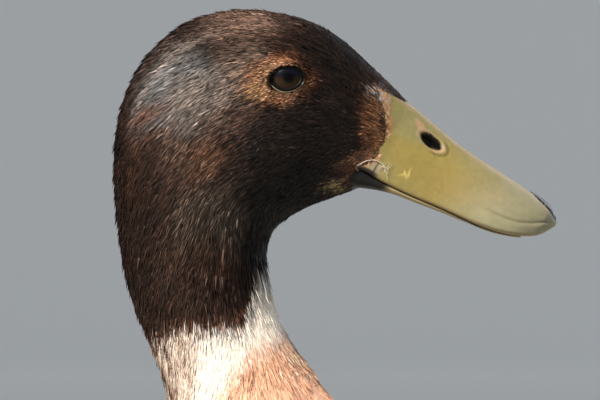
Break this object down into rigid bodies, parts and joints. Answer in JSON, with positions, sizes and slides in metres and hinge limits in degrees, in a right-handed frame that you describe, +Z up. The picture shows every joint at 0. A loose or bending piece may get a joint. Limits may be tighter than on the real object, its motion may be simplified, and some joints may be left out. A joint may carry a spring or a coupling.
{
  "type": "Abacot Ranger duck (drake)",
  "caption": "Life-size still model of a standing Abacot Ranger drake: hooded brown head, white neck ring, lowered bill, folded wings, fanned tail, webbed feet.",
  "frame": {"origin": "on the ground under the middle of the bird's box", "axes": "+X the way the bird faces, +Y to its left, +Z up"},
  "size_m": [0.4738, 0.1638, 0.42],
  "materials": {
    "head_plumage": "soft sheen",
    "neck_plumage": "matt",
    "body_plumage": "matt",
    "wing_plumage": "matt",
    "tail_plumage": "matt",
    "eye": "wet gloss",
    "bill_horn": "satin",
    "nail_horn": "satin",
    "leg_skin": "satin",
    "claw_horn": "satin"
  },
  "bodies": {
    "root": {"bill_lower": "bill_horn", "bill_nail": "nail_horn", "bill_upper": "bill_horn", "claw_left_1": "claw_horn", "claw_left_2": "claw_horn", "claw_left_3": "claw_horn", "claw_left_4": "claw_horn", "claw_right_1": "claw_horn", "claw_right_2": "claw_horn", "claw_right_3": "claw_horn", "claw_right_4": "claw_horn", "eye_left": "eye", "eye_right": "eye", "foot_left": "leg_skin", "foot_right": "leg_skin", "head": "head_plumage", "neck": "neck_plumage", "shank_left": "leg_skin", "shank_right": "leg_skin", "tail": "tail_plumage", "thigh_left": "body_plumage", "thigh_right": "body_plumage", "torso": "body_plumage", "wing_left": "wing_plumage", "wing_right": "wing_plumage"}
  },
  "joints": []
}
